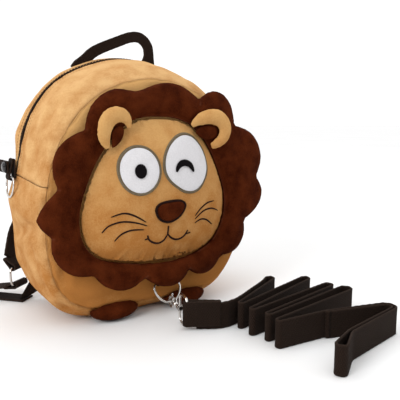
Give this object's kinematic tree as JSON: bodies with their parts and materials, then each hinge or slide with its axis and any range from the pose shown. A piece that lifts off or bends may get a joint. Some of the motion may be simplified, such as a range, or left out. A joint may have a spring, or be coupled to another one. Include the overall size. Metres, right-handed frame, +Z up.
{
  "type": "toddler harness backpack",
  "caption": "Plush lion toddler harness backpack with zip, webbing handle, shoulder and chest straps, nickel front ring, snap hook and folded webbing leash",
  "frame": {"origin": "on the floor under the middle of the bag, half way between its front and back seams", "axes": "+Z up, -Y towards the lion's face and the leash, +X to the viewer's right when facing the lion"},
  "size_m": [0.303, 0.3833, 0.2837],
  "materials": {
    "plush": "short nap tan plush",
    "plush_dark": "chocolate brown plush",
    "webbing": "dark brown woven webbing",
    "felt": "off-white felt",
    "rim_stitch": "olive grey satin stitch",
    "black_felt": "black felt",
    "thread": "dark brown embroidery thread",
    "nickel": "polished nickel plate",
    "gloss": "glossy black"
  },
  "bodies": {
    "bag": {"front_panel": "plush", "gusset_front": "plush", "gusset_back": "plush", "gusset_base": "plush", "back_panel": "plush", "face": "plush", "zipper": "webbing", "mane": "plush_dark", "eye_rim_left": "rim_stitch", "eye_rim_right": "rim_stitch", "eye_white_left": "felt", "eye_white_right": "felt", "pupil": "black_felt", "wink": "black_felt", "nose_rim": "thread", "nose": "plush_dark", "mouth": "thread", "whisker_left_1": "thread", "whisker_left_2": "thread", "whisker_left_3": "thread", "whisker_right_1": "thread", "whisker_right_2": "thread", "whisker_right_3": "thread", "ear_left": "plush", "ear_right": "plush", "ear_inner_left": "plush_dark", "ear_inner_right": "plush_dark", "foot_left": "plush_dark", "foot_right": "plush_dark", "handle": "webbing", "ring_tab": "webbing", "d_ring": "nickel", "hook_body": "nickel", "hook_eye": "nickel", "leash": "webbing", "chest_buckle": "gloss", "zip_slider": "nickel", "shoulder_strap_left": "webbing", "strap_ring_left": "nickel", "strap_lower_left": "webbing", "strap_tab_left": "webbing", "side_tab_left": "webbing", "side_ring_left": "nickel", "chest_strap_left": "webbing", "side_rivet_left": "gloss", "shoulder_strap_right": "webbing", "strap_ring_right": "nickel", "strap_lower_right": "webbing", "strap_tab_right": "webbing", "side_tab_right": "webbing", "side_ring_right": "nickel", "chest_strap_right": "webbing", "side_rivet_right": "gloss"},
    "gate": {"hook_gate": "nickel"}
  },
  "joints": [
    {"name": "hook_gate_hinge", "type": "hinge", "parent": "bag", "child": "gate", "pos_m": [0.00405, -0.07118, 0.01743], "axis": [-0.9807, 0.1957, 0], "range_deg": [0, 20], "stiffness_Nm_per_rad": 0.002}
  ]
}
